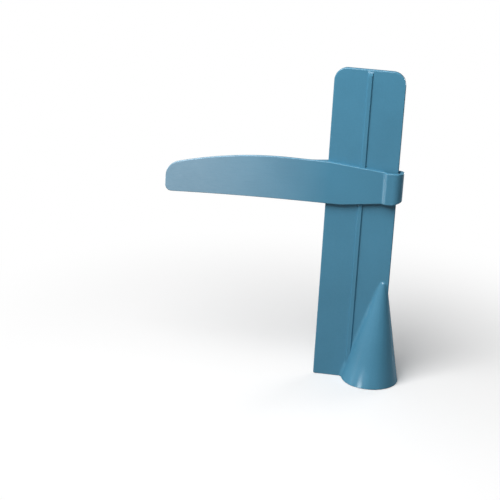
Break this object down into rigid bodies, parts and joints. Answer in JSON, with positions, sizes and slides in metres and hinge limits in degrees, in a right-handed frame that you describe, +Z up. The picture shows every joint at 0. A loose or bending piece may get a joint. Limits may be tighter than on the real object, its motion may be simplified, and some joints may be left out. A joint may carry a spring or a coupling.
{
  "type": "icing smoother",
  "caption": "Standing icing smoother: an upright blade on a hollow cone handle, with a crowned arm that slides up and down the blade to smooth a cake's top.",
  "frame": {"origin": "the middle of the blade's bottom edge, between its scraping edge and the handle, on the surface that the tool stands on", "axes": "+Z up the blade, +X from the scraping edge to the handle, -Y out of the blade's ribbed front; Y is 0 in the blade's middle plane"},
  "size_m": [0.1903, 0.0448, 0.25],
  "materials": {
    "blade_plastic": "semi-gloss injection-moulded blue plastic, lightly rubbed",
    "arm_plastic": "semi-gloss injection-moulded blue plastic, lightly rubbed"
  },
  "bodies": {
    "upright": {"upright_blade": "blade_plastic"},
    "arm": {"sliding_arm": "arm_plastic"}
  },
  "joints": [
    {"name": "arm_slide", "type": "slide", "parent": "upright", "child": "arm", "axis": [0, 0, 1], "range_m": [-0.063, 0.0725]}
  ]
}
